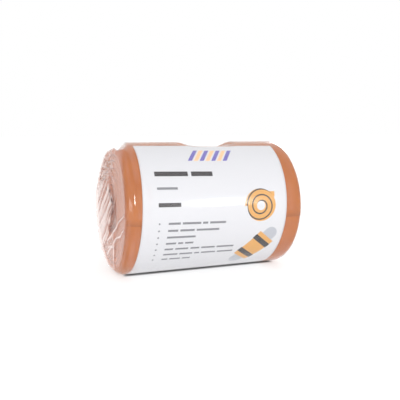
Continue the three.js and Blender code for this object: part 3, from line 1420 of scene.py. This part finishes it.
    def looks(self, skin: FilmSurface, angle: np.ndarray) -> Looks:
        """Rise and haze of the left end.

        Args:
            skin: The outer skin.
            angle: Angles of its points.

        Returns:
            How far the film stands out, and how hazy it is.
        """
        y, z = skin.y, skin.z
        sway_y, sway_z = self.swayed(skin)
        ways = (y, sway_y), (z, sway_z)
        rise, haze = folded(self.folds, *(between(way, self.fold_sway) for way in ways))
        haze = haze * between(self.fold_haze, self.fold_mottle.at(y, z))
        streak = self.streaks(*(between(way, self.streak_sway) for way in ways))
        from_edge = sway_y - np.interp(z, self.flap_heights, self.flap_edges)
        flap = self.flap_side.at(from_edge) * self.flap_top.at(self.flap_tilt * y + z)
        gap_haze = between(self.flap_gap_haze, self.flap_low.at(z))
        haze = np.maximum(haze, flap * between((gap_haze, self.flap_haze), streak))
        rise = rise + flap * self.streak_rise * streak
        foot = self.foot_side.at(from_edge) * self.foot_top.at(z) * self.foot_front.at(y)
        haze = np.maximum(haze, foot * self.foot_haze * streak)
        crumpled = self.crumpled(skin, angle)
        fine = self.fine_crumbs.at(y + z, z - self.crumb_tilt * y)
        crumb = between((self.crumbs.at(sway_y, sway_z), fine), self.fine_share)
        rise = rise + crumpled * between(self.crumb_rise, crumb)
        haze = np.maximum(haze, crumpled * between(self.crumb_haze, self.crumb_ramp.at(crumb)))
        haze = np.maximum(haze, between(self.band_haze, self.bands.at(skin.inward, angle)))
        bare = hump(np.hypot(y - self.bare_at[0], z - self.bare_at[1]) / self.bare_reach)
        rim = between(self.rim, self.rim_top.at(np.degrees(angle)))
        haze = haze * ease((skin.inward + rim) / self.rim_blur) * (1 - self.bare_share * bare)
        sheen = self.sheen_ramp.at(self.sheen.at(skin.inward, angle))
        return rise * self.on_face.at(skin.inward), np.maximum(haze, self.sheen_haze * sheen)


@dataclass(frozen=True)
class RightGather:
    """Looks of the right end, pleated evenly towards its vent."""

    sway: float = 3.0
    sway_noise: Noise = Noise(13, (7.0, 7.0))
    on_face: Ramp = Ramp(-4.0, 2.0)
    to_vent: Ramp = Ramp(0.0, 34.0)
    pleats: Noise = Noise(8, (TURN / 44, 30.0), (0.0, 3.0), 44)
    pleat_rise: Ends = (0.25, 0.75)
    pleat_haze: Ends = (0.12, 0.44)
    least_haze: float = 0.06
    tuck: Tuck = Tuck()

    folds = (
        Fold((0.5, 14), (-6, 35), 0.9, 3.2, 1.4, 0.34),
        Fold((9, 10), (23, 24), 0.9, 3.6, 1.6, 0.3),
        Fold((13, -4), (35, -8), 0.8, 3.4, 1.6, 0.34),
        Fold((-3, -13), (-12, -33), 0.9, 3.2, 1.4, 0.3),
        Fold((-14, 3), (-34, -5), 0.8, 3.4, 1.6, 0.32),
    )

    def looks(self, skin: FilmSurface, angle: np.ndarray) -> Looks:
        """Rise and haze of the right end.

        Args:
            skin: The outer skin.
            angle: Angles of its points.

        Returns:
            How far the film stands out, and how hazy it is.
        """
        sway = self.sway * (self.sway_noise.at(skin.y, skin.z) - 0.5)
        rise, haze = folded(self.folds, skin.y + sway, skin.z - sway)
        on_face = self.on_face.at(skin.inward)
        near = self.to_vent.at(skin.inward)
        ridge = (1 - np.abs(2 * self.pleats.at(angle, skin.inward) - 1)) ** 2
        rise = rise + ridge * between(self.pleat_rise, near)
        haze = np.maximum(haze, self.least_haze + ridge * between(self.pleat_haze, near))
        return rise * on_face, np.maximum(haze * on_face, self.tuck.at(skin, angle))


@dataclass(frozen=True)
class SleeveLooks:
    """Looks of the sleeve: fine ripples near the ends, and crinkles where it spans the dent."""

    form: RollForm
    ripples: Noise = Noise(9, (1.3, 1 / 3), (60.0, 0.0))
    ripple_rise: Ends = (0.03, 0.13)
    streak_ramp: Ramp = Ramp(0.0, 0.5)
    streak_haze: float = 0.1
    near_end: Ramp = Ramp(38.0, 46.0)
    crinkles: Noise = Noise(10, (2.4, 1 / 16), (60.0, 0.0))
    crinkle_rise: float = 0.35
    crinkle_haze: Ends = (0.1, 0.52)
    dent_ramp: Ramp = Ramp(0.0, 5.0)
    label_middle: float = -2.0
    past_label: Ramp = Ramp(44.0, 47.0)
    under_haze: float = 0.1
    least_haze: float = 0.012
    tuck: Tuck = Tuck()

    def looks(self, skin: FilmSurface, angle: np.ndarray) -> Looks:
        """Rise and haze of the sleeve.

        Args:
            skin: The outer skin.
            angle: Angles of its points.

        Returns:
            How far the film stands out, and how hazy it is.
        """
        ripple = self.ripples.at(skin.x, angle) - 0.5
        near_end = self.near_end.at(np.abs(skin.x))
        dented = self.dent_ramp.at(self.form.dent(skin.x, angle))
        crinkle = self.crinkles.at(skin.x, angle)
        rise = ripple * between(self.ripple_rise, near_end) + dented * self.crinkle_rise * crinkle
        streak = near_end * self.streak_ramp.at(ripple)
        under = np.maximum(0.0, -np.sin(angle)) * self.past_label.at(np.abs(skin.x - self.label_middle))
        haze = self.least_haze + self.streak_haze * streak + self.under_haze * under
        haze = np.maximum(haze, dented * between(self.crinkle_haze, crinkle ** 2))
        return rise, np.maximum(haze, self.tuck.at(skin, angle))


@dataclass(frozen=True)
class ShrinkFilm:
    """The clear film drawn over the roll, gathered at both ends."""

    # Names of the attributes: the film's haze, and the painted shade in its slits and between its crumbs.
    HAZE = "haze"
    PAINTED_SHADE = "painted_shade"

    form: RollForm
    wall: float = 0.08
    end_x: float = 54.9
    shoulders: tuple[float, float] = (5.0, 5.2)
    bunch_shoulder: float = 3.4
    bunch: Swell = Swell(195.0, 120.0)
    dent_share: float = 0.92
    off_face: float = -20.0
    angles: int = 420
    shoulder_rings: int = 9
    face_rings: tuple[int, int] = (70, 30)
    sleeve_gap: float = 0.6
    fine_reach: float = 10.0
    fine_rings: int = 22
    sleeve_rings: int = 44
    inner_step: int = 4
    left: LeftGather = LeftGather()
    right: RightGather = RightGather()
    name: str = "clear_shrink_film"

    gathers = {End.LEFT: (-11.6, 1.5), End.RIGHT: (-2.0, 2.0)}
    vents = {End.LEFT: (0.7, 5.0, 4.0), End.RIGHT: (2.6, 1.8, 20.0)}

    def round_angles(self) -> np.ndarray:
        """Angles of the points of each ring."""
        return np.arange(self.angles) * TURN / self.angles

    def corner(self, end: End, angle: np.ndarray) -> np.ndarray:
        """Rounding of the film at an end, which is tighter where it is bunched up.

        Args:
            end: The end.
            angle: Angles round the axis, in radians.

        Returns:
            The radius of the rounding at each angle.
        """
        if end is End.RIGHT:
            return np.full_like(angle, self.shoulders[1])
        return between((self.shoulders[0], self.bunch_shoulder), self.bunch.at(np.degrees(angle)))

    def shoulder_ring(self, end: End, depth: float, arc: float) -> dict[str, Number]:
        """One ring of the rounding between the sleeve and an end face.

        Args:
            end: The end.
            depth: Depth inside the outer skin.
            arc: Angle round the corner, from 0 at the sleeve to a quarter turn at the face, in radians.

        Returns:
            The ring's columns of a film surface, each an array or one number all round.
        """
        angle = self.round_angles()
        corner = self.corner(end, angle)
        reach = corner - depth
        bare = self.form.outline(angle) + self.form.wrap - corner
        x = end.value * (self.end_x - corner + reach * math.sin(arc))
        pressed = self.form.nick(x, angle)
        radius = np.minimum(bare + reach * math.cos(arc), bare + reach - pressed)
        kept = radius * self.form.settled(angle)
        return {
            "x": x,
            "y": -kept * np.cos(angle),
            "z": kept * np.sin(angle),
            "out_x": end.value * math.sin(arc),
            "out_radial": math.cos(arc),
            "inward": (arc - TURN / 4) * corner,
            "side": end.value,
        }

    def face_ring(self, end: End, depth: float, share: float) -> dict[str, Number]:
        """One ring of an end face, between its rim and its vent.

        Args:
            end: The end.
            depth: Depth inside the outer skin.
            share: Share of the way from the rim to the vent.

        Returns:
            The ring's columns of a film surface, each an array or one number all round.
        """
        angle = self.round_angles()
        rim = self.shoulder_ring(end, depth, TURN / 4)
        half_y, half_z, tilt = self.vents[end]
        turn = math.radians(tilt)
        lip_y, lip_z = -half_y * np.cos(angle), half_z * np.sin(angle)
        to_y = self.gathers[end][0] + lip_y * math.cos(turn) - lip_z * math.sin(turn)
        to_z = self.gathers[end][1] + lip_y * math.sin(turn) + lip_z * math.cos(turn)
        return {
            "x": end.value * (self.end_x - depth),
            "y": between((rim["y"], to_y), share),
            "z": between((rim["z"], to_z), share),
            "out_x": end.value,
            "out_radial": 0.0,
            "inward": np.hypot(rim["y"] - to_y, rim["z"] - to_z) * share,
            "side": end.value,
        }

    def sleeve_ring(self, depth: float, x: float) -> dict[str, Number]:
        """One ring of the sleeve round the roll.

        Args:
            depth: Depth inside the outer skin.
            x: Place along the axis.

        Returns:
            The ring's columns of a film surface, each an array or one number all round.
        """
        angle = self.round_angles()
        pressed = self.dent_share * self.form.dent(x, angle) + self.form.nick(x, angle)
        kept = (self.form.outline(angle) + self.form.wrap - depth - pressed) * self.form.settled(angle)
        return {
            "x": x,
            "y": -kept * np.cos(angle),
            "z": kept * np.sin(angle),
            "out_x": 0.0,
            "out_radial": 1.0,
            "inward": self.off_face,
            "side": 0,
        }

    def sleeve_places(self) -> np.ndarray:
        """Sets out the sleeve's rings, closer together near the nick.

        Returns:
            Distances along the axis from its middle.
        """
        left, right = (self.end_x - corner - self.sleeve_gap for corner in self.shoulders)
        fine_end = -left + self.fine_reach
        fine = np.linspace(-left, fine_end, self.fine_rings)
        return np.concatenate([fine, np.linspace(fine_end, right, self.sleeve_rings)[1:]])

    def skin(self, depth: float, faces: tuple[Sequence[float], Sequence[float]], arcs: Sequence[float],
             along: Sequence[float]) -> FilmSurface:
        """One whole skin, from the left vent to the right one.

        Args:
            depth: Depth inside the outer skin.
            faces: Shares of the way from rim to vent, for the left and the right end face.
            arcs: Angles round the corners.
            along: Places of the sleeve's rings along the axis.

        Returns:
            The skin.
        """
        left = [self.face_ring(End.LEFT, depth, share) for share in reversed(faces[0])]
        left += [self.shoulder_ring(End.LEFT, depth, arc) for arc in reversed(arcs)]
        middle = [self.sleeve_ring(depth, x) for x in along]
        right = [self.shoulder_ring(End.RIGHT, depth, arc) for arc in arcs]
        right += [self.face_ring(End.RIGHT, depth, share) for share in faces[1]]
        rings = left + middle + right
        columns = {key: [np.broadcast_to(ring[key], self.angles) for ring in rings] for key in rings[0]}
        return FilmSurface(**{key: np.stack(column) for key, column in columns.items()})

    def build(self, axis: Vector, material: bpy.types.Material) -> bpy.types.Object:
        """Args:
            axis: Middle of the roll's axis in the frame.
            material: The film.

        Returns:
            The piece.
        """
        left, right = (np.linspace(0, 1, count + 1)[1:] for count in self.face_rings)
        arcs = np.linspace(0, TURN / 4, self.shoulder_rings)
        along = self.sleeve_places()
        outer = self.skin(0.0, (left, right), arcs, along)
        inner = self.skin(self.wall, ([1.0], [1.0]), arcs, along[::self.inner_step])
        angle = np.broadcast_to(self.round_angles(), outer.x.shape)
        looks = [part.looks(outer, angle) for part in (self.left, self.right, SleeveLooks(self.form))]
        sides = [outer.side < 0, outer.side > 0, outer.side == 0]
        rise, haze = (np.select(sides, choices) for choices in zip(*looks))
        # Painted shade in the slits and between the crumbs of the left end.
        painted_shade = np.where(outer.side < 0, self.left.shade(outer, angle), 0.0)
        bare = np.zeros_like(inner.x)
        points = np.concatenate([self.points(inner, bare), self.points(outer, rise)[::-1]])
        quads = ring_quads(*points.shape[:2], True)
        piece = mesh_object(self.name, points.reshape(-1, 3) * MM + np.array(axis), quads)
        for name, shown in ((self.HAZE, haze), (self.PAINTED_SHADE, painted_shade)):
            layer = piece.data.attributes.new(name, "FLOAT", "POINT")
            shares = np.concatenate([bare, shown[::-1]])
            layer.data.foreach_set("value", shares.astype(np.float32).ravel())
        piece.data.materials.append(material)
        ride_roll(piece, "shrink_film")
        return piece

    def points(self, skin: FilmSurface, rise: np.ndarray) -> np.ndarray:
        """Places a skin's points, raised along the way out and kept above the floor.

        Args:
            skin: The skin.
            rise: How far each point is raised.

        Returns:
            The points, from the middle of the axis.
        """
        angle = self.round_angles()
        z = skin.z + skin.out_radial * rise * np.sin(angle)
        z = np.maximum(z, -self.form.rest_height())
        y = skin.y - skin.out_radial * rise * np.cos(angle)
        x = self.form.leaned(skin.x + skin.out_x * rise, z)
        return np.stack([x, y, z], axis=-1)


# The studio


@dataclass(frozen=True)
class Lamp:
    """A soft rectangular light that faces the roll."""

    name: str
    azimuth: float
    elevation: float
    distance: float
    size: tuple[float, float]
    power: float

    def hang(self, aim: Vector) -> None:
        """Adds the light, facing a point of the roll.

        Args:
            aim: The point, in metres.
        """
        data = bpy.data.lights.new(self.name, "AREA")
        data.shape = "RECTANGLE"
        data.size, data.size_y = self.size
        data.energy = self.power
        lamp = bpy.data.objects.new(self.name, data)
        turn, lift = math.radians(self.azimuth), math.radians(self.elevation)
        level = math.cos(lift)
        back = Vector((math.sin(turn) * level, -math.cos(turn) * level, math.sin(lift)))
        lamp.location = aim + back * self.distance
        lamp.rotation_euler = back.to_track_quat("Z", "Y").to_euler()
        bpy.context.scene.collection.objects.link(lamp)


@dataclass(frozen=True)
class Studio:
    """White floor, soft light and the camera at the photograph's angle."""

    yaw: float = 22.18
    pitch: float = -7.855
    roll: float = 0.291
    camera_from_axis: tuple[float, float, float] = (-131.0, -328.65, 51.74)
    lens: float = 51.04
    sensor: float = 36.0
    floor_half: float = 3.0
    sky: float = 1.0
    lamps: tuple[Lamp, ...] = (
        Lamp("glare_lamp", 24.0, 10.2, 1.1, (0.1, 0.2), 0.8),
        Lamp("spark_lamp", 2.0, 21.0, 1.1, (0.14, 0.26), 2.6),
        Lamp("key_softbox", -50.0, 10.0, 1.7, (1.2, 0.5), 4.3),
        Lamp("back_softbox", 140.0, 18.0, 1.3, (0.25, 0.35), 1.6),
    )

    def build(self, axis: Vector) -> None:
        """Sets up the floor, the light and the camera.

        Args:
            axis: Middle of the roll's axis in the frame.
        """
        self.lay_floor()
        self.light_sky()
        for lamp in self.lamps:
            lamp.hang(axis)
        self.set_camera(axis)
        bpy.context.scene.view_settings.view_transform = "Standard"

    def lay_floor(self) -> None:
        """Lays the floor at the height of the frame's ground."""
        corners = np.array([(-1, -1, 0), (1, -1, 0), (1, 1, 0), (-1, 1, 0)]) * self.floor_half
        floor = mesh_object("floor", corners, np.array([[0, 1, 2, 3]]))
        floor.data.materials.append(FloorFinish().make())

    def light_sky(self) -> None:
        """Surrounds the scene with even white light."""
        world = bpy.data.worlds.new("white_studio")
        world.use_nodes = True
        book = NodeBook(world.node_tree)
        sky = book.node("ShaderNodeBackground", None, {"Color": WHITE, "Strength": self.sky})
        book.node("ShaderNodeOutputWorld", None, {"Surface": sky.outputs[0]})
        bpy.context.scene.world = world

    def set_camera(self, axis: Vector) -> None:
        """Sets the camera where the photograph was taken from.

        Args:
            axis: Middle of the roll's axis in the frame.
        """
        yaw, pitch, roll = (math.radians(turn) for turn in (self.yaw, self.pitch, self.roll))
        flat = math.cos(pitch)
        forward = Vector((math.sin(yaw) * flat, math.cos(yaw) * flat, math.sin(pitch)))
        level = Vector((math.cos(yaw), -math.sin(yaw), 0.0))
        up = level.cross(forward)
        right = level * math.cos(roll) + up * math.sin(roll)
        upright = up * math.cos(roll) - level * math.sin(roll)
        data = bpy.data.cameras.new("camera")
        data.lens, data.sensor_width = self.lens, self.sensor
        camera = bpy.data.objects.new("camera", data)
        turned = Matrix((right, upright, -forward)).transposed().to_4x4()
        camera.matrix_world = Matrix.Translation(axis + Vector(self.camera_from_axis) * MM) @ turned
        bpy.context.scene.collection.objects.link(camera)
        bpy.context.scene.camera = camera


def roll_axis(form: RollForm) -> Vector:
    """Finds the middle of the roll's axis from the frame.

    Args:
        form: The roll's sizes.

    Returns:
        The point, in metres.
    """
    strip_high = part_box("splint_strip")[1]
    film_low, film_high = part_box("shrink_film")
    middle = (film_low.y + film_high.y) / 2 + float(form.outline(0.0) - form.outline(math.pi)) / 2 * MM
    return Vector((strip_high.x - form.width / 2 * MM, middle, form.rest_height() * MM))


def main() -> None:
    """Builds the studio and the pieces in order, and logs how many points and faces each piece has."""
    logging.basicConfig(level=logging.INFO, format="%(name)s: %(message)s")
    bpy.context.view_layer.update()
    form = RollForm()
    axis = roll_axis(form)
    Studio().build(axis)
    label = LabelSheet(form)
    paper = PaperFinish(width=label.width, length=label.flat_length())
    pieces = [
        SplintStrip(form).build(axis, FoamFinish().make()),
        label.build(axis, paper.make()),
        ShrinkFilm(form).build(axis, FilmFinish().make()),
    ]
    for piece in pieces:
        mesh = piece.data
        LOG.info("%s: %d points, %d faces", piece.name, len(mesh.vertices), len(mesh.polygons))


if __name__ == "__main__":
    main()
